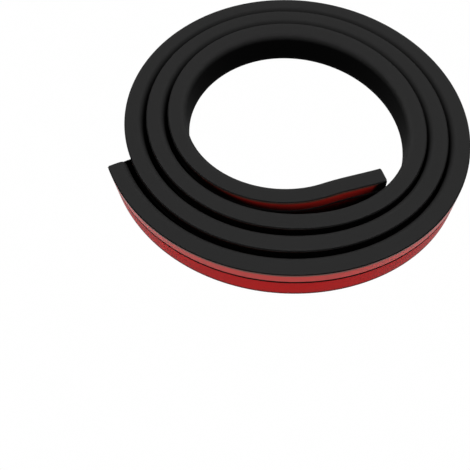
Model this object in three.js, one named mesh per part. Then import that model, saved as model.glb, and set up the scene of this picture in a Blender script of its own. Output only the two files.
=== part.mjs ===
// Floor cord cover: a soft black strip with an arched top and three cable channels, wound into a coil.
// The coil lies flat, with the strip standing on one long edge and its taped base facing outwards.
// Millimetres, +Z up along the coil's axis, origin at the middle of the coil's underside.
import * as THREE from 'three';

// Section of the strip: a flat base, upright edges and an arched top
const stripWidth = 40;
const stripHeight = 16.2;
const edgeHeight = 2;
const archFullness = 6; // exponent of the arch: 2 is half an ellipse, more is squarer
const archSegments = 10;

// Channels inside the strip
const archWall = 2.8;
const floorThickness = 2.8;
const webThickness = 1.8;
const middleChannelWidth = 14.6;
const middleRoofSegments = 4;
const sideRoofSegments = 4;

// Slit through the floor of the middle channel, off the middle towards the coil's upper edge
const slitWidth = 1;
const slitOffset = 5.3;

// Adhesive tape each side of the slit, with a release liner on it
const tapeThickness = 0.5;
const linerThickness = 0.2;
const layerClearance = 0.1;
const tapeEdgeMargin = 1.2;
const tapeSlitMargin = 0.9;

// Coil: turns wound from the outer end inwards
const stripLength = 3000;
const outerRadius = 177.6; // to the base of the strip at the outer end
const turnGap = 3.5;
const outerEndDirection = 168.2; // degrees, seen from the coil's axis
const stepLength = 25;

// The coil isn't quite round: it is a little longer one way, it has three faint corners,
// and its turns lie a little closer together on one side
const ovalBy = 3.4;
const ovalDirection = 108; // degrees
const corneredBy = 0.8;
const cornerDirection = 63;
const closerBy = 0.9; // for each turn
const closerDirection = 21;

// The outer end springs out a little
const outerSpring = 0.6;
const outerSpringAngle = 12; // degrees of turn

// The last of the strip lies loose inside: it dips inwards, and its end springs back against the next turn
const looseDip = 10.2;
const looseAngle = 118; // degrees of turn before the inner end
const innerSpring = 17.7;
const innerSpringAngle = 27;

// That end pushes the turns behind it outwards, each one less than the turn before
const pushedBy = 4.6;
const pushedAngle = 32;
const pushedFade = 0.72;

// Finishes
const rubber = { color: 0x2a2a2a, roughness: 0.62, metalness: 0 };
const foam = { color: 0xb89a80, roughness: 0.9, metalness: 0 };
const film = { color: 0xa51c1e, roughness: 0.3, metalness: 0 };

const fullTurn = 2 * Math.PI;
const halfWidth = stripWidth / 2;
const taped = 2 * layerClearance + tapeThickness + linerThickness;
const turnPitch = stripHeight + taped + turnGap;
const radians = THREE.MathUtils.degToRad;

// Distance from the axis to the strip's base after a given turn from the outer end, both in radians
function baseRadius(turned, total) {
  const left = total - turned;
  const direction = radians(outerEndDirection) + turned;
  const wound = outerRadius - turnPitch * turned / fullTurn;
  const crowded = closerBy * Math.cos(direction - radians(closerDirection)) * turned / fullTurn;
  const oval = ovalBy * Math.cos(2 * (direction - radians(ovalDirection)));
  const cornered = corneredBy * Math.cos(3 * (direction - radians(cornerDirection)));
  const sprungOut = outerSpring * Math.exp(-turned / radians(outerSpringAngle));
  const dipped = looseDip * Math.max(0, 1 - left / radians(looseAngle)) ** 2;
  const sprungBack = innerSpring * Math.max(0, 1 - left / radians(innerSpringAngle)) ** 2;
  return wound + crowded + oval + cornered + sprungOut - dipped + sprungBack + pushedOut(left);
}

// How far a place is pushed out by the inner end, one or more turns inside it
function pushedOut(left) {
  let pushed = 0;
  for (let turn = 1; turn * fullTurn < left + fullTurn; turn += 1) {
    const away = (left - turn * fullTurn) / radians(pushedAngle);
    pushed += pushedBy * pushedFade ** (turn - 1) * Math.exp(-away * away);
  }
  return pushed;
}

// The line that the middle of the strip's base follows
class CoilPath extends THREE.Curve {
  constructor(total) {
    super();
    this.total = total;
    this.arcLengthDivisions = 1200;
  }

  getPoint(t, target = new THREE.Vector3()) {
    const turned = t * this.total;
    const radius = baseRadius(turned, this.total);
    const angle = radians(outerEndDirection) + turned;
    return target.set(radius * Math.cos(angle), radius * Math.sin(angle), halfWidth);
  }
}

// The path whose length is the strip's length, found by halving the range of turns that it may have
function pathOfLength(length) {
  let fewest = 0;
  let most = outerRadius / turnPitch * fullTurn;
  while (most - fewest > 1e-6) {
    const middle = (fewest + most) / 2;
    if (new CoilPath(middle).getLength() < length) {
      fewest = middle;
    } else {
      most = middle;
    }
  }
  return new CoilPath(fewest);
}

// A point of the section: across is measured from the middle towards the coil's upper edge,
// and up from the base towards the top of the arch
function at(across, up) {
  return new THREE.Vector2(-across, up);
}

// Height of an arch over a point, the arch being inset from the strip's outside
function archHeight(across, inset) {
  const share = Math.min(1, Math.abs(across) / (halfWidth - inset));
  return edgeHeight + (stripHeight - edgeHeight - inset) * (1 - share ** archFullness) ** (1 / archFullness);
}

// Where an inset arch comes down to a height
function archReach(up, inset) {
  const share = (up - edgeHeight) / (stripHeight - edgeHeight - inset);
  return (halfWidth - inset) * (1 - share ** archFullness) ** (1 / archFullness);
}

// The outside of the arch from the lower edge to the upper one
function archOutline() {
  const points = [];
  for (let i = 0; i <= archSegments; i += 1) {
    const angle = Math.PI * (1 - i / archSegments);
    const across = halfWidth * Math.sign(Math.cos(angle)) * Math.abs(Math.cos(angle)) ** (2 / archFullness);
    const up = (stripHeight - edgeHeight) * Math.sin(angle) ** (2 / archFullness);
    points.push(at(across, edgeHeight + Math.max(0, up)));
  }
  return points;
}

// The underside of the arch between two places across the strip
function channelRoof(from, to, segments) {
  const points = [];
  for (let i = 0; i <= segments; i += 1) {
    const across = from + (to - from) * i / segments;
    points.push(at(across, archHeight(across, archWall)));
  }
  return points;
}

// The section: the middle channel opens through the slit, so it is part of the outline
function stripSection() {
  const channelSide = middleChannelWidth / 2;
  const slitLow = slitOffset - slitWidth / 2;
  const slitHigh = slitOffset + slitWidth / 2;
  const section = new THREE.Shape([
    at(-halfWidth, 0),
    ...archOutline(),
    at(halfWidth, 0),
    at(slitHigh, 0),
    at(slitHigh, floorThickness),
    at(channelSide, floorThickness),
    ...channelRoof(channelSide, -channelSide, middleRoofSegments),
    at(-channelSide, floorThickness),
    at(slitLow, floorThickness),
    at(slitLow, 0),
  ]);
  const footInside = channelSide + webThickness;
  const footOutside = archReach(floorThickness, archWall);
  for (const side of [-1, 1]) {
    const roof = channelRoof(side * footInside, side * footOutside, sideRoofSegments);
    section.holes.push(new THREE.Path([at(side * footInside, floorThickness), ...roof]));
  }
  return section;
}

// A flat band below the base, from one place across the strip to another
function bandSection(from, to, depth, thickness) {
  return new THREE.Shape([
    at(from, -depth - thickness),
    at(to, -depth - thickness),
    at(to, -depth),
    at(from, -depth),
  ]);
}

// A section swept along the coil
function swept(name, section, path, finish) {
  const steps = Math.round(stripLength / stepLength);
  const geometry = new THREE.ExtrudeGeometry(section, { steps, extrudePath: path });
  const mesh = new THREE.Mesh(geometry, new THREE.MeshStandardMaterial(finish));
  mesh.name = name;
  return mesh;
}

// A tape and its liner, between two places across the strip
function addTape(group, path, name, from, to) {
  const tape = bandSection(from, to, layerClearance, tapeThickness);
  const liner = bandSection(from, to, 2 * layerClearance + tapeThickness, linerThickness);
  group.add(swept(`adhesive_tape_${name}`, tape, path, foam));
  group.add(swept(`release_liner_${name}`, liner, path, film));
}

function buildCoil() {
  const coil = new THREE.Group();
  const path = pathOfLength(stripLength);
  coil.add(swept('cover_strip', stripSection(), path, rubber));
  const tapeReach = halfWidth - tapeEdgeMargin;
  const slitReach = slitWidth / 2 + tapeSlitMargin;
  addTape(coil, path, 'narrow', slitOffset + slitReach, tapeReach);
  addTape(coil, path, 'wide', -tapeReach, slitOffset - slitReach);
  const box = new THREE.Box3().setFromObject(coil);
  coil.position.set(-(box.min.x + box.max.x) / 2, -(box.min.y + box.max.y) / 2, -box.min.z);
  return coil;
}

export default buildCoil();
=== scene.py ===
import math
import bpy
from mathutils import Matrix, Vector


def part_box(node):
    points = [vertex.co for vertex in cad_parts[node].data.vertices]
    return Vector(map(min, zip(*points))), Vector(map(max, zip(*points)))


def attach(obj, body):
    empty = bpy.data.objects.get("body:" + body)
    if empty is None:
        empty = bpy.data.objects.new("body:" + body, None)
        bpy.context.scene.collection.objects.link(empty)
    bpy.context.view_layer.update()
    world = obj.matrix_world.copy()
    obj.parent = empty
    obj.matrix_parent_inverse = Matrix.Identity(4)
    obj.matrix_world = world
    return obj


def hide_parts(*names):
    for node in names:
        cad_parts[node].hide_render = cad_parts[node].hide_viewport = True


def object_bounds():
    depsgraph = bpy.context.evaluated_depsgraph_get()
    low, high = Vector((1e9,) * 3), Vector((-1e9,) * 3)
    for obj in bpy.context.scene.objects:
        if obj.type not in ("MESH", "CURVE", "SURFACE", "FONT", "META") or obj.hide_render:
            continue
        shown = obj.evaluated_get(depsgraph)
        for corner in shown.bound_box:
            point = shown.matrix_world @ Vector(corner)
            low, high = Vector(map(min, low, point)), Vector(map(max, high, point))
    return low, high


bl_info = {
    "name": "Coiled cord cover",
    "version": (1, 0, 0),
    "blender": (4, 5, 0),
    "location": "View3D > Sidebar > Cord Cover",
    "description": "Dresses the coiled cord cover: rubber strip, adhesive tapes, release liners and studio",
    "category": "Object",
}

from bisect import bisect_right
from functools import cache

import bmesh
import bpy
from bpy.props import FloatProperty, FloatVectorProperty, IntProperty, PointerProperty
from mathutils import Matrix, Vector

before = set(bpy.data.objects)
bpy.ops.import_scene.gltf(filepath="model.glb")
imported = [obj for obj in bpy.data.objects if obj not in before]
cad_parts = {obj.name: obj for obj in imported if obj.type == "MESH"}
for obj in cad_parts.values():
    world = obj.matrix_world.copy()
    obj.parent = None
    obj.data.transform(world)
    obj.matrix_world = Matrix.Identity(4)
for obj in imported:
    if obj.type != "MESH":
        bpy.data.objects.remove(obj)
CAD_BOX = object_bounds()
STRIP_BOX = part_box("cover_strip")
STRIP_WIDTH = STRIP_BOX[1][2] - STRIP_BOX[0][2]
UNDERSIDE = CAD_BOX[0][2]
BODY = "root"

FULL_TURN = 2 * math.pi
BLACK = (0, 0, 0, 1)

# Name of the attribute that holds each vertex's place on the straight strip
LAID_OUT = "laid_out"

# The photograph's side in pixels, and the width of the camera's sensor in millimetres
PHOTO_SIDE = 470
SENSOR_WIDTH = 36

# Vertices closer than this are merged
WELD = 0.00001

# The section's edges that turn by more than this are rounded
CORNER_ANGLE = math.radians(38)

# Edges that turn by more than this stay crisp, on the strip and on the thin layers under it
STRIP_SHARP = math.radians(35)
LAYER_SHARP = math.radians(20)

# A face whose normal runs along the strip by more than this is on a cut end
END_ON = 0.9


# Sizes and colours

class StripSizes(bpy.types.PropertyGroup):
    """The strip's section, with its base flat and its top arched"""

    width: FloatProperty(
        name="Width", description="Across the flat base", default=STRIP_WIDTH, unit="LENGTH")
    height: FloatProperty(
        name="Height", description="From the base to the top of the arch", default=0.0162, unit="LENGTH")
    edge_height: FloatProperty(
        name="Edge height", description="Upright edge at each side of the base", default=0.002, unit="LENGTH")
    fullness: FloatProperty(
        name="Fullness", description="Exponent of the arch: 2 is half an ellipse, more is squarer",
        default=6.0)
    wall: FloatProperty(
        name="Wall", description="Thickness of the arch over the channels", default=0.0028, unit="LENGTH")
    floor: FloatProperty(
        name="Floor", description="Thickness of the base under the channels", default=0.0028, unit="LENGTH")
    web: FloatProperty(
        name="Web", description="Thickness of the webs between the channels", default=0.0018, unit="LENGTH")
    channel: FloatProperty(
        name="Middle channel", description="Width of the middle channel", default=0.0146, unit="LENGTH")
    slit: FloatProperty(
        name="Slit", description="Width of the slit in the base", default=0.001, unit="LENGTH")
    slit_offset: FloatProperty(
        name="Slit offset", description="From the strip's middle to the slit", default=0.0053, unit="LENGTH")
    corner: FloatProperty(
        name="Corner radius", description="Rounding of the outside corners", default=0.0005, unit="LENGTH")
    channel_corner: FloatProperty(
        name="Channel corner radius", description="Rounding of the channels' corners", default=0.0008,
        unit="LENGTH")
    corner_steps: IntProperty(
        name="Corner steps", description="Facets round a corner", default=3, min=1)
    cut_rim: FloatProperty(
        name="Cut rim", description="Chamfer round the cut ends", default=0.0002, unit="LENGTH")


class TapeSizes(bpy.types.PropertyGroup):
    """The adhesive tapes and their release liners"""

    thickness: FloatProperty(
        name="Tape thickness", description="Thickness of the foam tape", default=0.0005, unit="LENGTH")
    liner: FloatProperty(
        name="Liner thickness", description="Thickness of the release liner", default=0.0002, unit="LENGTH")
    clearance: FloatProperty(
        name="Clearance", description="Gap between the stuck layers", default=0.0001, unit="LENGTH")
    edge_margin: FloatProperty(
        name="Edge margin", description="From the strip's edge to the tape", default=0.0012, unit="LENGTH")
    slit_margin: FloatProperty(
        name="Slit margin", description="From the slit to the tape", default=0.0009, unit="LENGTH")
    rounding: FloatProperty(
        name="Rounding", description="Rounding of the layers' edges", default=0.00008, unit="LENGTH")
    rounding_steps: IntProperty(
        name="Rounding steps", description="Facets round a layer's edge", default=2, min=1)
    dark_edge: FloatProperty(
        name="Dull edge", description="Width of the dull upper edge of the narrow liner", default=0.0026,
        unit="LENGTH")


class CoilSizes(bpy.types.PropertyGroup):
    """How the strip is wound"""

    length: FloatProperty(
        name="Length", description="Length of the strip", default=3.0, unit="LENGTH")
    outer_radius: FloatProperty(
        name="Outer radius", description="From the axis to the base at the outer end", default=0.1776,
        unit="LENGTH")
    turn_gap: FloatProperty(
        name="Turn gap", description="Gap between the turns", default=0.0035, unit="LENGTH")
    outer_end: FloatProperty(
        name="Outer end", description="Direction of the outer end", default=math.radians(168.2),
        subtype="ANGLE")
    oval: FloatProperty(
        name="Oval", description="How much longer the coil is one way", default=0.0034, unit="LENGTH")
    oval_side: FloatProperty(
        name="Oval side", description="Direction of that way", default=math.radians(108), subtype="ANGLE")
    cornered: FloatProperty(
        name="Cornered", description="Height of the coil's three faint corners", default=0.0008,
        unit="LENGTH")
    corner_side: FloatProperty(
        name="Corner side", description="Direction of one corner", default=math.radians(63), subtype="ANGLE")
    closer: FloatProperty(
        name="Closer", description="How much closer each turn lies on one side", default=0.0009,
        unit="LENGTH")
    closer_side: FloatProperty(
        name="Closer side", description="Direction of that side", default=math.radians(21), subtype="ANGLE")
    outer_spring: FloatProperty(
        name="Outer spring", description="How far the outer end springs out", default=0.0006, unit="LENGTH")
    outer_spring_angle: FloatProperty(
        name="Outer spring angle", description="Turn over which it springs", default=math.radians(12),
        subtype="ANGLE")
    loose_dip: FloatProperty(
        name="Loose dip", description="How far the loose end hangs inwards", default=0.0102, unit="LENGTH")
    loose_angle: FloatProperty(
        name="Loose angle", description="Turn left where it starts", default=math.radians(118),
        subtype="ANGLE")
    inner_spring: FloatProperty(
        name="Inner spring", description="How far the inner end springs back", default=0.0177, unit="LENGTH")
    inner_spring_angle: FloatProperty(
        name="Inner spring angle", description="Turn over which it springs", default=math.radians(27),
        subtype="ANGLE")
    pushed: FloatProperty(
        name="Pushed", description="How far the inner end pushes the next turn out", default=0.0046,
        unit="LENGTH")
    pushed_angle: FloatProperty(
        name="Pushed angle", description="Half the width of that push", default=math.radians(32),
        subtype="ANGLE")
    pushed_fade: FloatProperty(
        name="Pushed fade", description="Share of the push that reaches one turn further", default=0.72)
    rings: IntProperty(
        name="Rings", description="Sections along the strip", default=560, min=50)
    arch_steps: IntProperty(
        name="Arch steps", description="Facets over the arch", default=44, min=8)
    roof_steps: IntProperty(
        name="Roof steps", description="Facets over each channel", default=11, min=2)


class Finishes(bpy.types.PropertyGroup):
    """Colours of the materials, with painted light and shade, and how far the painted shade between the turns
    reaches
    """

    # Painted shade: this near black stands on the rubber's upright faces and on the layers between the turns
    rubber: FloatVectorProperty(
        name="Rubber", description="Black rubber", subtype="COLOR", default=(0.0005, 0.0005, 0.0005))
    # Painted light: the rubber's grey as lit from above, on faces that look up and near the upper edge; the
    # cut ends take it too
    lit_grey: FloatVectorProperty(
        name="Bloom", description="Pale bloom on the rubber's upper faces", subtype="COLOR",
        default=(0.0172, 0.0172, 0.0172))
    foam: FloatVectorProperty(
        name="Foam", description="Foam of the adhesive tape", subtype="COLOR", default=(0.22, 0.13, 0.10))
    film: FloatVectorProperty(
        name="Film", description="Red release film", subtype="COLOR", default=(0.3, 0.006, 0.006))
    film_gloss: FloatProperty(
        name="Film gloss", description="Specular level of the red film", default=0.01)
    # Painted light: a paler, pinker copy of the red film, for the light that the narrow liner reflects
    lit_film: FloatVectorProperty(
        name="Pale film", description="Red release film of the narrow tape", subtype="COLOR",
        default=(0.335, 0.014, 0.01))
    lit_film_gloss: FloatProperty(
        name="Pale film gloss", description="Specular level of the narrow tape's film", default=0.1)
    dark_edge: FloatVectorProperty(
        name="Dull edge", description="Upper edge of the narrow liner", subtype="COLOR",
        default=(0.085, 0.025, 0.017))
    # The two reaches set how far the painted shade between the turns spreads
    close_reach: FloatProperty(
        name="Close reach", description="How near the next turn has to be to darken a layer", default=0.007,
        unit="LENGTH")
    wide_reach: FloatProperty(
        name="Wide reach", description="How far the walls of a wide gap still darken a liner", default=0.03,
        unit="LENGTH")
    paper: FloatVectorProperty(
        name="Floor", description="Studio floor", subtype="COLOR", default=(1.0, 1.0, 1.0))


class StudioSizes(bpy.types.PropertyGroup):
    """Camera, floor and lights"""

    azimuth: FloatProperty(
        name="Azimuth", description="Direction that the camera looks along", default=math.radians(325),
        subtype="ANGLE")
    elevation: FloatProperty(
        name="Elevation", description="Height of the camera over the horizon", default=math.radians(50.72),
        subtype="ANGLE")
    distance: FloatProperty(
        name="Distance", description="From the camera to the coil's axis", default=0.5607, unit="LENGTH")
    roll: FloatProperty(
        name="Roll", description="Lean of the camera", default=math.radians(0.93), subtype="ANGLE")
    lens: FloatProperty(
        name="Lens", description="Focal length in pixels of the photograph", default=555.3)
    axis_column: FloatProperty(
        name="Axis column", description="Column where the coil's axis shows", default=286.8)
    axis_row: FloatProperty(
        name="Axis row", description="Row where the coil's axis shows", default=123.1)
    view_column: FloatProperty(
        name="View column", description="Column that the lens points at", default=263.0)
    view_row: FloatProperty(
        name="View row", description="Row that the lens points at", default=180.0)
    floor_size: FloatProperty(
        name="Floor size", description="Side of the floor", default=12.0, unit="LENGTH")
    floor_depth: FloatProperty(
        name="Floor depth", description="From the coil's underside down to the floor", default=0.0002,
        unit="LENGTH")
    # The shade band and the gap card are black stage pieces of painted shade
    shade_margin: FloatProperty(
        name="Shade margin", description="From the strip's base to the shade below it", default=0.001,
        unit="LENGTH")
    card_inset: FloatProperty(
        name="Card inset", description="From the outer end to the black card in the gap behind it",
        default=0.001, unit="LENGTH")
    card_front: FloatProperty(
        name="Card front", description="Where the card starts, as a share of the strip's height", default=0.9)
    card_reach: FloatProperty(
        name="Card reach", description="How far the card reaches past the gap", default=0.003, unit="LENGTH")
    backdrop: FloatProperty(
        name="Backdrop", description="Radius of the pale dome round the studio", default=9.0, unit="LENGTH")
    key_azimuth: FloatProperty(
        name="Key azimuth", description="Direction that the key light comes from", default=math.radians(235),
        subtype="ANGLE")
    key_elevation: FloatProperty(
        name="Key elevation", description="Height of the key light over the horizon",
        default=math.radians(60), subtype="ANGLE")
    key_power: FloatProperty(
        name="Key power", description="Power of the key light", default=24.0, unit="POWER")
    back_elevation: FloatProperty(
        name="Back elevation", description="Height of the back light over the horizon",
        default=math.radians(50), subtype="ANGLE")
    back_power: FloatProperty(
        name="Back power", description="Power of the light opposite the key", default=16.0, unit="POWER")
    light_distance: FloatProperty(
        name="Light distance", description="From the softboxes to the coil", default=1.6, unit="LENGTH")
    light_size: FloatProperty(
        name="Light size", description="Side of the softboxes", default=0.9, unit="LENGTH")
    low_light: FloatProperty(
        name="Low light", description="Strength of the light band all round, just over the floor",
        default=7.0)
    low_light_top: FloatProperty(
        name="Low light top", description="Height of that band over the horizon", default=math.radians(8),
        subtype="ANGLE")
    low_light_fade: FloatProperty(
        name="Low light fade", description="Share of that height, up and down, in which the band fades",
        default=0.2)
    sky: FloatProperty(
        name="Sky", description="Strength of the light from above the band", default=0.03)


GROUPS = {
    "cover_strip_sizes": StripSizes,
    "cover_tape_sizes": TapeSizes,
    "cover_coil_sizes": CoilSizes,
    "cover_finishes": Finishes,
    "cover_studio": StudioSizes,
}


# The coil's path

class Winding:
    """The path of the strip's base, as a place and a direction for each length along it"""

    # Steps that the path is measured in, how closely its turn is found, in radians, and the digits of a
    # metre that tell two places apart
    steps = 6000
    precision = 1e-7
    digits = 7

    def __init__(self, coil, strip, tape):
        self.coil = coil
        layers = 2 * tape.clearance + tape.thickness + tape.liner
        self.pitch = strip.height + layers + coil.turn_gap
        self.middle = strip.width / 2
        self.shift = Vector((0, 0))
        self.places = {}
        self.fit_length()
        self.centre(layers)

    def fit_length(self):
        """Finds the turn that the strip's length takes, by halving the range that it may lie in"""
        fewest = 0.0
        most = self.coil.outer_radius / self.pitch * FULL_TURN
        while most - fewest > self.precision:
            self.total = (fewest + most) / 2
            self.measure()
            if self.lengths[-1] < self.coil.length:
                fewest = self.total
            else:
                most = self.total

    def centre(self, layers):
        """Puts the middle of the coil's outline, with the layers on its base, at the origin"""
        outline = []
        for along in self.lengths:
            base, inwards = self.place(along)
            outline.append(base - inwards * layers)
        xs = [flat.x for flat in outline]
        ys = [flat.y for flat in outline]
        self.shift = Vector(((min(xs) + max(xs)) / 2, (min(ys) + max(ys)) / 2))
        self.places.clear()

    def radius(self, turned):
        """From the axis to the base, after a turn from the outer end"""
        coil = self.coil
        left = self.total - turned
        direction = coil.outer_end + turned
        wound = coil.outer_radius - self.pitch * turned / FULL_TURN
        crowded = coil.closer * math.cos(direction - coil.closer_side) * turned / FULL_TURN
        oval = coil.oval * math.cos(2 * (direction - coil.oval_side))
        cornered = coil.cornered * math.cos(3 * (direction - coil.corner_side))
        sprung_out = coil.outer_spring * math.exp(-turned / coil.outer_spring_angle)
        dipped = coil.loose_dip * max(0, 1 - left / coil.loose_angle) ** 2
        sprung_back = coil.inner_spring * max(0, 1 - left / coil.inner_spring_angle) ** 2
        return wound + crowded + oval + cornered + sprung_out - dipped + sprung_back + self.pushed_out(left)

    def pushed_out(self, left):
        """How far a place is pushed out by the inner end, one or more turns inside it"""
        coil = self.coil
        pushed = 0
        turn = 1
        while (turn - 1) * FULL_TURN < left:
            away = (left - turn * FULL_TURN) / coil.pushed_angle
            pushed += coil.pushed * coil.pushed_fade ** (turn - 1) * math.exp(-away * away)
            turn += 1
        return pushed

    def point(self, turned):
        radius = self.radius(turned)
        angle = self.coil.outer_end + turned
        return Vector((radius * math.cos(angle), radius * math.sin(angle)))

    def measure(self):
        """Lengths along the strip at even steps of turn"""
        self.turns = [self.total * i / self.steps for i in range(self.steps + 1)]
        self.lengths = [0.0]
        last = self.point(0)
        for turned in self.turns[1:]:
            here = self.point(turned)
            self.lengths.append(self.lengths[-1] + (here - last).length)
            last = here

    def turned_at(self, along):
        """The turn, from the outer end, at a length along the strip; straight on past the ends"""
        i = min(self.steps - 1, max(0, bisect_right(self.lengths, along) - 1))
        share = (along - self.lengths[i]) / (self.lengths[i + 1] - self.lengths[i])
        return self.turns[i] + share * (self.turns[i + 1] - self.turns[i])

    def place(self, along):
        """The base's point and the direction inwards at a length along the strip"""
        key = round(along, self.digits)
        if key not in self.places:
            turned = self.turned_at(along)
            small = self.total / self.steps / 2
            ahead = (self.point(turned + small) - self.point(turned - small)).normalized()
            self.places[key] = (self.point(turned) - self.shift, Vector((-ahead.y, ahead.x)))
        return self.places[key]

    def wind(self, bm):
        """Moves a mesh that is laid out straight, along X, across Y and up Z, onto the coil"""
        for vert in bm.verts:
            along, across, up = vert.co
            base, inwards = self.place(along)
            flat = base + inwards * up
            vert.co = (flat.x, flat.y, self.middle + across)


@cache
def winding(scene):
    """The coil's path, worked out once"""
    return Winding(scene.cover_coil_sizes, scene.cover_strip_sizes, scene.cover_tape_sizes)


# Materials

class Wire:
    """A socket of a material's nodes that can be used in plain arithmetic"""

    def __init__(self, finish, socket):
        self.finish = finish
        self.socket = socket

    def maths(self, operation, *values):
        return self.finish.add("ShaderNodeMath", {"operation": operation}, values)

    def __add__(self, other):
        return self.maths("ADD", self, other)

    def __radd__(self, other):
        return self.maths("ADD", other, self)

    def __sub__(self, other):
        return self.maths("SUBTRACT", self, other)

    def __rsub__(self, other):
        return self.maths("SUBTRACT", other, self)

    def __mul__(self, other):
        return self.maths("MULTIPLY", self, other)

    def __rmul__(self, other):
        return self.maths("MULTIPLY", other, self)

    def at_least(self, other):
        return self.maths("MAXIMUM", self, other)

    def at_most(self, other):
        return self.maths("MINIMUM", self, other)

    def ramp(self, start, slope, most=1):
        """0 up to a start, then rising by a slope to a greatest value"""
        return ((self - start) * slope).at_least(0).at_most(most)


class Finish:
    """A material and its nodes"""

    # Sockets of a Mix node that mixes colours, by number, because several have one name
    mix_share = 0
    mix_low = 6
    mix_high = 7
    mix_result = 2

    shade_samples = 16

    def __init__(self, name):
        self.material = bpy.data.materials.new(name)
        self.material.use_nodes = True
        self.nodes = self.material.node_tree.nodes
        self.links = self.material.node_tree.links
        self.nodes.clear()
        self.output = self.nodes.new("ShaderNodeOutputMaterial")

    def add(self, kind, settings=None, inputs=None, out=0):
        """One node: its settings first, then the values or wires of its sockets"""
        node = self.nodes.new(kind)
        for name, value in (settings or {}).items():
            setattr(node, name, value)
        pairs = inputs.items() if isinstance(inputs, dict) else enumerate(inputs or ())
        for key, value in pairs:
            if isinstance(value, Wire):
                self.links.new(value.socket, node.inputs[key])
            else:
                node.inputs[key].default_value = value
        return Wire(self, node.outputs[out])

    def laid_out(self, scale=(1, 1, 1)):
        """The place on the strip before it was wound, along, across and up, in metres times a scale"""
        place = self.add("ShaderNodeAttribute", {"attribute_name": LAID_OUT}, out="Vector")
        return self.add("ShaderNodeMapping", {}, {"Vector": place, "Scale": scale})

    def across(self):
        """The place across the strip, from its middle towards the coil's upper edge"""
        return self.add("ShaderNodeSeparateXYZ", {}, [self.laid_out()], out="Y")

    def facing_up(self):
        """How far a face looks up: 1 on a level face, 0 on an upright one, -1 on an underside"""
        normal = self.add("ShaderNodeNewGeometry", out="Normal")
        return self.add("ShaderNodeSeparateXYZ", {}, [normal], out="Z")

    def open_share(self, reach, start, slope):
        """Mask for painted shade: 0 where a face is shut in by what stands within a reach, rising to 1 where
        it is open
        """
        settings = {"samples": self.shade_samples}
        seen = self.add("ShaderNodeAmbientOcclusion", settings, {"Distance": reach}, out="AO")
        return seen.ramp(start, slope)

    def free_share(self, reach):
        """Mask for painted shade: 1 on a layer that stands free, falling to 0 near the next turn and on edges
        that look up
        """
        upright = 1 - self.facing_up().ramp(start=0, slope=3)
        return self.open_share(reach, start=0.72, slope=5) * upright

    def noise(self, vector, scale, detail, roughness=0.5):
        return self.add("ShaderNodeTexNoise", {}, {
            "Vector": vector, "Scale": scale, "Detail": detail, "Roughness": roughness})

    def mix(self, share, low, high):
        inputs = {self.mix_share: share, self.mix_low: low, self.mix_high: high}
        return self.add("ShaderNodeMix", {"data_type": "RGBA"}, inputs, out=self.mix_result)

    def bump(self, height, distance, strength, normal=None):
        """A relief, on top of an earlier one where its normal is given"""
        inputs = {"Height": height, "Distance": distance, "Strength": strength}
        if normal is not None:
            inputs["Normal"] = normal
        return self.add("ShaderNodeBump", {}, inputs)

    def surface(self, **values):
        """Ends the nodes in a Principled shader and gives the material"""
        inputs = {name.replace("_", " "): value for name, value in values.items()}
        shader = self.add("ShaderNodeBsdfPrincipled", {}, inputs)
        self.links.new(shader.socket, self.output.inputs["Surface"])
        return self.material

    def matt_black(self, glow=BLACK):
        """Sends no light back, and shows its glow alone however it is lit"""
        return self.surface(
            Base_Color=BLACK, Roughness=1.0, Specular_IOR_Level=0.0, Emission_Color=glow,
            Emission_Strength=1.0)


def colour(value, times=1.0):
    """A colour for a socket, made lighter or darker"""
    return (value[0] * times, value[1] * times, value[2] * times, 1)


def rubber_finish(scene):
    """Satin black rubber: drawn lines along the strip, a fine grain, and painted light and shade: a lit grey
    on what faces up and near the upper edge, near black on upright faces
    """
    finish = Finish("black_rubber")
    colours = scene.cover_finishes
    drawn = finish.noise(finish.laid_out((2.5, 900, 900)), scale=1, detail=4, roughness=0.6)
    grain = finish.noise(finish.laid_out(), scale=2600, detail=2, roughness=0.6)
    clouds = finish.noise(finish.laid_out((1, 2.5, 2.5)), scale=14, detail=3, roughness=0.55)
    # Painted light and shade: faces that look up, and a band near the upper edge, take the lit grey; upright
    # faces stay near black
    level = finish.facing_up().ramp(start=0.12, slope=4)
    upper_edge_light = finish.across().ramp(start=0.010, slope=140, most=0.8)
    painted_light_share = level.at_least(upper_edge_light) * (0.9 + 0.2 * clouds)
    base = finish.mix(painted_light_share, colour(colours.rubber), colour(colours.lit_grey))
    relief = finish.bump(drawn, distance=0.00003, strength=0.5)
    relief = finish.bump(grain, distance=0.00002, strength=0.5, normal=relief)
    return finish.surface(
        Base_Color=base, Roughness=0.6 + 0.12 * clouds, Normal=relief, Specular_IOR_Level=0.01)


def cut_finish(scene):
    """The strip's cut ends: duller, with faint knife marks across"""
    finish = Finish("cut_rubber")
    colours = scene.cover_finishes
    knife = finish.noise(finish.laid_out((1, 300, 2600)), scale=1, detail=3, roughness=0.6)
    grain = finish.noise(finish.laid_out(), scale=3000, detail=2, roughness=0.6)
    base = finish.mix(grain, colour(colours.lit_grey, 0.8), colour(colours.lit_grey, 1.3))
    relief = finish.bump(knife, distance=0.00006, strength=0.6)
    return finish.surface(Base_Color=base, Roughness=0.72, Normal=relief, Specular_IOR_Level=0.2)


def foam_finish(scene):
    """Tan foam with open cells along its cut edges, with painted shade (near black) between the turns and on
    edges that look up
    """
    finish = Finish("tan_foam")
    colours = scene.cover_finishes
    cells = finish.add("ShaderNodeTexVoronoi", {}, {"Vector": finish.laid_out(), "Scale": 3800})
    patches = finish.noise(finish.laid_out(), scale=60, detail=3, roughness=0.6)
    base = finish.mix(patches, colour(colours.foam, 0.85), colour(colours.foam, 1.15))
    # Painted shade: the foam goes near black near the next turn and on its edges that look up
    base = finish.mix(finish.free_share(colours.close_reach), colour(colours.rubber), base)
    relief = finish.bump(cells, distance=0.00012, strength=0.8)
    return finish.surface(Base_Color=base, Roughness=0.85, Normal=relief, Specular_IOR_Level=0.1)


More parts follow.
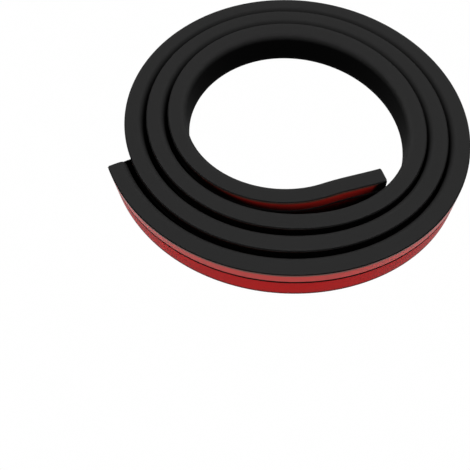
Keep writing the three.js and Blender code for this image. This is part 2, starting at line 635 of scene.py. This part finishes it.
def film_finish(scene, name, shade, gloss, dark_from):
    """Red release film, a little uneven, with painted shade (near black) between the turns, on edges that
    look up and deep in a wide gap, and darker beyond a place across the strip
    """
    finish = Finish(name)
    colours = scene.cover_finishes
    drawn = finish.noise(finish.laid_out((4, 120, 1)), scale=1, detail=2)
    pores = finish.noise(finish.laid_out(), scale=1800, detail=2)
    patches = finish.noise(finish.laid_out((1, 3, 1)), scale=16, detail=3, roughness=0.6)
    base = finish.mix(patches, colour(shade, 0.86), colour(shade, 1.12))
    # A darker band along the narrow liner's upper edge
    edge = finish.across().ramp(start=dark_from, slope=1200)
    base = finish.mix(edge, base, colour(colours.dark_edge))
    # Painted shade: the film goes near black near the next turn, on edges that look up, and deep in a wide
    # gap
    free = finish.free_share(colours.close_reach)
    free = free * finish.open_share(colours.wide_reach, start=0.16, slope=3)
    base = finish.mix(free, colour(colours.rubber), base)
    relief = finish.bump(drawn, distance=0.00005, strength=0.2)
    relief = finish.bump(pores, distance=0.00001, strength=0.2, normal=relief)
    return finish.surface(
        Base_Color=base, Roughness=0.3 + 0.14 * patches, Normal=relief, Specular_IOR_Level=gloss)


def floor_finish(scene):
    """Plain pale studio floor, evenly lit, with a very faint speckle"""
    finish = Finish("studio_floor")
    paper = scene.cover_finishes.paper
    speckle = finish.noise(finish.add("ShaderNodeTexCoord", out="Object"), scale=40, detail=2)
    return finish.matt_black(glow=finish.mix(speckle, colour(paper, 0.995), colour(paper)))


# The strip's section, as points (across, up) from the middle of its base

def arch_up(strip, across, inset):
    """Height of an arch over a place across the strip, the arch being inset from the outside"""
    share = min(1, abs(across) / (strip.width / 2 - inset))
    rise = strip.height - strip.edge_height - inset
    return strip.edge_height + rise * (1 - share ** strip.fullness) ** (1 / strip.fullness)


def arch_reach(strip, up, inset):
    """Half the width of an inset arch at a height"""
    share = (up - strip.edge_height) / (strip.height - strip.edge_height - inset)
    return (strip.width / 2 - inset) * (1 - share ** strip.fullness) ** (1 / strip.fullness)


def arch_points(strip, steps):
    """The outside of the arch, from one upright edge to the other"""
    points = []
    for i in range(steps + 1):
        angle = math.pi * i / steps
        side = math.copysign(abs(math.cos(angle)) ** (2 / strip.fullness), math.cos(angle))
        rise = max(0, math.sin(angle)) ** (2 / strip.fullness)
        points.append((strip.width / 2 * side, strip.edge_height + (strip.height - strip.edge_height) * rise))
    return points


def roof_points(strip, start, stop, steps):
    """The underside of the arch between two places across the strip"""
    places = [start + (stop - start) * i / steps for i in range(steps + 1)]
    return [(across, arch_up(strip, across, strip.wall)) for across in places]


def strip_outline(strip, coil):
    """The section's outline, the middle channel with its slit included"""
    half = strip.width / 2
    side = strip.channel / 2
    low = strip.slit_offset - strip.slit / 2
    high = strip.slit_offset + strip.slit / 2
    return [
        (half, 0), *arch_points(strip, coil.arch_steps), (-half, 0),
        (low, 0), (low, strip.floor), (-side, strip.floor),
        *roof_points(strip, -side, side, coil.roof_steps),
        (side, strip.floor), (high, strip.floor), (high, 0),
    ]


def side_channel_outline(strip, coil, side):
    """A side channel between its web and the arch"""
    foot = strip.channel / 2 + strip.web
    tip = arch_reach(strip, strip.floor, strip.wall)
    points = [(foot, strip.floor), (tip, strip.floor)]
    points += roof_points(strip, tip, foot, coil.roof_steps)[1:]
    return [(side * across, up) for across, up in points]


# Meshes that are laid out straight, to be wound later

def add_loop(bm, points, along):
    """A closed loop of edges in the plane of the section"""
    verts = [bm.verts.new((along, across, up)) for across, up in points]
    return [bm.edges.new((a, b)) for a, b in zip(verts, verts[1:] + verts[:1])]


def is_lengthwise(edge, length):
    """Whether an edge runs along a mesh of a length, and not across it"""
    return abs(edge.verts[0].co.x - edge.verts[1].co.x) > length / 2


def draw_out(bm, edges, length):
    """Draws edges out along the strip, which makes faces"""
    drawn = bmesh.ops.extrude_edge_only(bm, edges=edges)
    moved = [v for v in drawn["geom"] if isinstance(v, bmesh.types.BMVert)]
    bmesh.ops.translate(bm, verts=moved, vec=(length, 0, 0))


def cut_across(bm, length, cuts):
    """Cuts a straight mesh across, at even steps, so that it can be wound"""
    long_edges = [e for e in bm.edges if is_lengthwise(e, length)]
    bmesh.ops.subdivide_edges(bm, edges=long_edges, cuts=cuts, use_grid_fill=True)


def round_corners(bm, length, radius, segments, chosen):
    """Rounds the chosen corners of the section, along the whole length"""
    corners = [e for e in bm.edges if is_lengthwise(e, length) and len(e.link_faces) == 2
               and e.calc_face_angle(0) > CORNER_ANGLE and chosen(e)]
    bmesh.ops.bevel(
        bm, geom=corners, offset=radius, offset_type="OFFSET", affect="EDGES", segments=segments,
        profile=0.5, material=-1, clamp_overlap=True)


def cap_ends(bm, length, rim, end_material):
    """Closes both ends, which stand a rim's width short of the whole length, and chamfers them out to it"""
    for along in (rim, length - rim):
        rim_edges = [e for e in bm.edges if len(e.link_faces) == 1 and not is_lengthwise(e, length)
                     and abs(e.verts[0].co.x - along) < rim / 2]
        bmesh.ops.triangle_fill(bm, edges=rim_edges, use_beauty=True)
    bmesh.ops.recalc_face_normals(bm, faces=bm.faces)
    for way in (-1, 1):
        cap = [f for f in bm.faces if f.normal.x * way > END_ON]
        for face in cap:
            face.material_index = end_material
        bmesh.ops.inset_region(
            bm, faces=cap, thickness=rim, depth=rim, use_boundary=True, use_even_offset=True)


def drawn_solid(loops, length, rim, roundings, rings, end_material=0):
    """A section drawn out straight along X, with rounded corners and closed ends, cut into rings"""
    bm = bmesh.new()
    edges = [edge for points in loops for edge in add_loop(bm, points, rim)]
    draw_out(bm, edges, length - 2 * rim)
    for radius, segments, chosen in roundings:
        round_corners(bm, length, radius, segments, chosen)
    bmesh.ops.remove_doubles(bm, verts=bm.verts, dist=WELD)
    cap_ends(bm, length, rim, end_material)
    cut_across(bm, length, rings - 1)
    return bm


def mark_sharp(bm, least):
    """Keeps the corners crisp under smooth shading"""
    for face in bm.faces:
        face.smooth = True
    for edge in bm.edges:
        edge.smooth = edge.calc_face_angle(0) < least


def finished_mesh(bm, name, materials):
    """Turns what was modelled into a mesh with its materials"""
    mesh = bpy.data.meshes.new(name)
    bm.to_mesh(mesh)
    bm.free()
    for material in materials:
        mesh.materials.append(material)
    return mesh


# The coil's pieces

def add_piece(scene, bm, name, materials, node):
    """Winds a straight mesh, as a piece that rides on the part's body and stands for one of its solids"""
    layer = bm.verts.layers.float_vector.new(LAID_OUT)
    for vert in bm.verts:
        vert[layer] = vert.co
    winding(scene).wind(bm)
    piece = bpy.data.objects.new(name, finished_mesh(bm, name, materials))
    scene.collection.objects.link(piece)
    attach(piece, BODY)
    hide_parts(node)


def add_layer(scene, name, span, depth, thickness, material, node):
    """A flat layer under the strip's base: its span across the strip and its depth under the base"""
    tape = scene.cover_tape_sizes
    coil = scene.cover_coil_sizes
    start, stop = span
    loop = [(start, -depth - thickness), (stop, -depth - thickness), (stop, -depth), (start, -depth)]
    roundings = [(tape.rounding, tape.rounding_steps, lambda edge: True)]
    bm = drawn_solid([loop], coil.length, tape.rounding, roundings, coil.rings)
    mark_sharp(bm, LAYER_SHARP)
    add_piece(scene, bm, name, [material], node)


def tape_spans(scene):
    """Where the two tapes start and stop across the strip"""
    strip = scene.cover_strip_sizes
    tape = scene.cover_tape_sizes
    reach = strip.width / 2 - tape.edge_margin
    slit = strip.slit / 2 + tape.slit_margin
    return {"narrow": (strip.slit_offset + slit, reach), "wide": (-reach, strip.slit_offset - slit)}


class COVER_OT_strip(bpy.types.Operator):
    """Make the rubber strip, drawn out straight and then wound"""

    bl_idname = "cover.strip"
    bl_label = "Rubber strip"

    def execute(self, context):
        scene = context.scene
        strip = scene.cover_strip_sizes
        coil = scene.cover_coil_sizes

        def on_outside(edge):
            """Whether a corner is on the base or an upright edge, and not in a channel"""
            across, up = edge.verts[0].co[1:]
            return up < strip.corner or abs(across) > (strip.width - strip.wall) / 2

        loops = [strip_outline(strip, coil)]
        loops += [side_channel_outline(strip, coil, side) for side in (-1, 1)]
        roundings = [
            (strip.corner, strip.corner_steps, on_outside),
            (strip.channel_corner, strip.corner_steps, lambda edge: not on_outside(edge)),
        ]
        bm = drawn_solid(loops, coil.length, strip.cut_rim, roundings, coil.rings, end_material=1)
        mark_sharp(bm, STRIP_SHARP)
        materials = [rubber_finish(scene), cut_finish(scene)]
        add_piece(scene, bm, "cord_cover_strip", materials, "cover_strip")
        return {"FINISHED"}


class COVER_OT_tapes(bpy.types.Operator):
    """Make the two foam tapes on the strip's base"""

    bl_idname = "cover.tapes"
    bl_label = "Adhesive tapes"

    def execute(self, context):
        scene = context.scene
        tape = scene.cover_tape_sizes
        foam = foam_finish(scene)
        for side, span in tape_spans(scene).items():
            add_layer(
                scene, f"foam_tape_{side}", span, tape.clearance, tape.thickness, foam,
                f"adhesive_tape_{side}")
        return {"FINISHED"}


class COVER_OT_liners(bpy.types.Operator):
    """Make the two release liners on the tapes"""

    bl_idname = "cover.liners"
    bl_label = "Release liners"

    def execute(self, context):
        scene = context.scene
        strip = scene.cover_strip_sizes
        tape = scene.cover_tape_sizes
        colours = scene.cover_finishes
        dark_from = strip.width / 2 - tape.edge_margin - tape.dark_edge
        never_dark = strip.width
        # The narrow liner takes the paler copy of the film, which is painted light
        looks = {
            "narrow": (colours.lit_film, colours.lit_film_gloss, dark_from),
            "wide": (colours.film, colours.film_gloss, never_dark),
        }
        depth = 2 * tape.clearance + tape.thickness
        for side, span in tape_spans(scene).items():
            film = film_finish(scene, f"red_film_{side}", *looks[side])
            add_layer(
                scene, f"release_film_{side}", span, depth, tape.liner, film,
                f"release_liner_{side}")
        return {"FINISHED"}


# The stage

def add_stage(scene, name, bm, material, seen=True):
    """A stage piece that only the camera sees, or that only light meets"""
    stage = bpy.data.objects.new(name, finished_mesh(bm, name, [material]))
    stage.visible_camera = seen
    stage.visible_glossy = seen
    stage.visible_diffuse = not seen
    stage.visible_shadow = not seen
    scene.collection.objects.link(stage)


def add_floor(scene):
    """The pale floor that the camera sees, and a black cloth under it that stops light from below"""
    studio = scene.cover_studio
    for name, depth, material, seen in (
            ("studio_floor", studio.floor_depth, floor_finish(scene), True),
            ("studio_cloth", 2 * studio.floor_depth, Finish("studio_cloth").matt_black(), False)):
        bm = bmesh.new()
        bmesh.ops.create_grid(bm, x_segments=1, y_segments=1, size=studio.floor_size / 2)
        bmesh.ops.translate(bm, verts=bm.verts, vec=(0, 0, UNDERSIDE - depth))
        add_stage(scene, name, bm, material, seen)


def add_shade(scene):
    """Painted shade: a black band laid on the floor, where it is shut in between one turn and the next one
    inside it
    """
    studio = scene.cover_studio
    path = winding(scene)
    # The innermost turn has no next one, so the shade stops a full turn before the inner end
    last = path.lengths[bisect_right(path.turns, path.total - FULL_TURN)]
    under_next_turn = 2 * scene.cover_strip_sizes.height
    bm = bmesh.new()
    ends = [bm.verts.new((0, 0, up)) for up in (studio.shade_margin, under_next_turn)]
    draw_out(bm, [bm.edges.new(ends)], last)
    cut_across(bm, last, scene.cover_coil_sizes.rings)
    path.wind(bm)
    for vert in bm.verts:
        vert.co.z = UNDERSIDE - studio.floor_depth / 2
    add_stage(scene, "studio_shade", bm, Finish("studio_shade").matt_black())


def add_gap_card(scene):
    """Painted shade: a black card that stands in the mouth of the gap behind the outer end, so that the gap
    shows dark
    """
    strip = scene.cover_strip_sizes
    studio = scene.cover_studio
    half = strip.width / 2 - strip.corner
    front = studio.card_front * strip.height
    back = strip.height + scene.cover_coil_sizes.turn_gap + studio.card_reach
    bm = bmesh.new()
    corners = [(-half, front), (half, front), (half, back), (-half, back)]
    bm.faces.new([bm.verts.new((studio.card_inset, across, up)) for across, up in corners])
    winding(scene).wind(bm)
    add_stage(scene, "studio_gap_card", bm, Finish("studio_card").matt_black())


def add_backdrop(scene):
    """A dome round the studio, in the floor's tone, for low views"""
    bm = bmesh.new()
    bmesh.ops.create_uvsphere(bm, u_segments=48, v_segments=24, radius=scene.cover_studio.backdrop)
    bmesh.ops.reverse_faces(bm, faces=bm.faces)
    tone = colour(scene.cover_finishes.paper)
    add_stage(scene, "studio_backdrop", bm, Finish("studio_backdrop").matt_black(glow=tone))


def add_sky(scene):
    """A band of light all round, just over the floor, with a dim sky above it"""
    studio = scene.cover_studio
    world = bpy.data.worlds.new("studio_world")
    world.use_nodes = True
    tree = world.node_tree
    place = tree.nodes.new("ShaderNodeTexCoord")
    split = tree.nodes.new("ShaderNodeSeparateXYZ")
    strength = tree.nodes.new("ShaderNodeMapRange")
    strength.interpolation_type = "SMOOTHSTEP"
    top = math.sin(studio.low_light_top)
    strength.inputs["From Min"].default_value = top * (1 - studio.low_light_fade)
    strength.inputs["From Max"].default_value = top * (1 + studio.low_light_fade)
    strength.inputs["To Min"].default_value = studio.low_light
    strength.inputs["To Max"].default_value = studio.sky
    background = tree.nodes["Background"]
    background.inputs["Color"].default_value = (1, 1, 1, 1)
    tree.links.new(place.outputs["Generated"], split.inputs[0])
    tree.links.new(split.outputs["Z"], strength.inputs["Value"])
    tree.links.new(strength.outputs["Result"], background.inputs["Strength"])
    scene.world = world


def add_softbox(scene, name, azimuth, elevation, power):
    """A square softbox that looks at the coil"""
    studio = scene.cover_studio
    data = bpy.data.lights.new(name, "AREA")
    data.size = studio.light_size
    data.energy = power
    light = bpy.data.objects.new(name, data)
    way = Vector((math.cos(azimuth), math.sin(azimuth), math.tan(elevation))).normalized()
    light.location = way * studio.light_distance
    light.rotation_euler = way.to_track_quat("Z", "Y").to_euler()
    scene.collection.objects.link(light)


def add_camera(scene):
    """The camera stands where the photograph was taken from, and the coil's axis shows at its place there"""
    studio = scene.cover_studio
    data = bpy.data.cameras.new("photo_camera")
    data.sensor_width = SENSOR_WIDTH
    data.lens = studio.lens * SENSOR_WIDTH / PHOTO_SIDE
    data.shift_x = (PHOTO_SIDE / 2 - studio.view_column) / PHOTO_SIDE
    data.shift_y = (studio.view_row - PHOTO_SIDE / 2) / PHOTO_SIDE
    camera = bpy.data.objects.new("photo_camera", data)
    scene.collection.objects.link(camera)
    scene.camera = camera
    shift = winding(scene).shift
    centre = Vector((-shift.x, -shift.y, scene.cover_strip_sizes.width / 2))
    forward = Vector((-math.sin(studio.azimuth), math.cos(studio.azimuth), 0)) * math.cos(studio.elevation)
    forward.z = -math.sin(studio.elevation)
    right = Vector((math.cos(studio.azimuth), math.sin(studio.azimuth), 0))
    level = Matrix((right, right.cross(forward), -forward)).transposed()
    column = (studio.axis_column - studio.view_column) / studio.lens
    row = (studio.axis_row - studio.view_row) / studio.lens
    seen = Vector((column, -row, -1)).normalized()
    turn = Vector((0, 0, -1)).rotation_difference(seen).to_matrix()
    lean = Matrix.Rotation(studio.roll, 3, "Z")
    view = level @ lean @ turn.transposed()
    camera.matrix_world = Matrix.Translation(centre - forward * studio.distance) @ view.to_4x4()


class COVER_OT_studio(bpy.types.Operator):
    """Set the floor, the lights and the camera"""

    bl_idname = "cover.studio"
    bl_label = "Studio"

    def execute(self, context):
        scene = context.scene
        scene.view_settings.view_transform = "Standard"
        for add in (add_camera, add_floor, add_shade, add_gap_card, add_backdrop, add_sky):
            add(scene)
        studio = scene.cover_studio
        opposite = studio.key_azimuth + math.pi
        add_softbox(scene, "key_softbox", studio.key_azimuth, studio.key_elevation, studio.key_power)
        add_softbox(scene, "back_softbox", opposite, studio.back_elevation, studio.back_power)
        return {"FINISHED"}


# The add-on

class COVER_PT_panel(bpy.types.Panel):
    """The cord cover's steps, in order"""

    bl_idname = "COVER_PT_panel"
    bl_label = "Cord Cover"
    bl_space_type = "VIEW_3D"
    bl_region_type = "UI"
    bl_category = "Cord Cover"

    def draw(self, context):
        for step in (COVER_OT_strip, COVER_OT_tapes, COVER_OT_liners, COVER_OT_studio):
            self.layout.operator(step.bl_idname)


CLASSES = (*GROUPS.values(), COVER_OT_strip, COVER_OT_tapes, COVER_OT_liners, COVER_OT_studio, COVER_PT_panel)


def register():
    for item in CLASSES:
        bpy.utils.register_class(item)
    for name, group in GROUPS.items():
        setattr(bpy.types.Scene, name, PointerProperty(type=group))


def unregister():
    for name in GROUPS:
        delattr(bpy.types.Scene, name)
    for item in reversed(CLASSES):
        bpy.utils.unregister_class(item)


def main():
    register()
    bpy.ops.cover.strip()
    bpy.ops.cover.tapes()
    bpy.ops.cover.liners()
    bpy.ops.cover.studio()


if __name__ == "__main__":
    main()
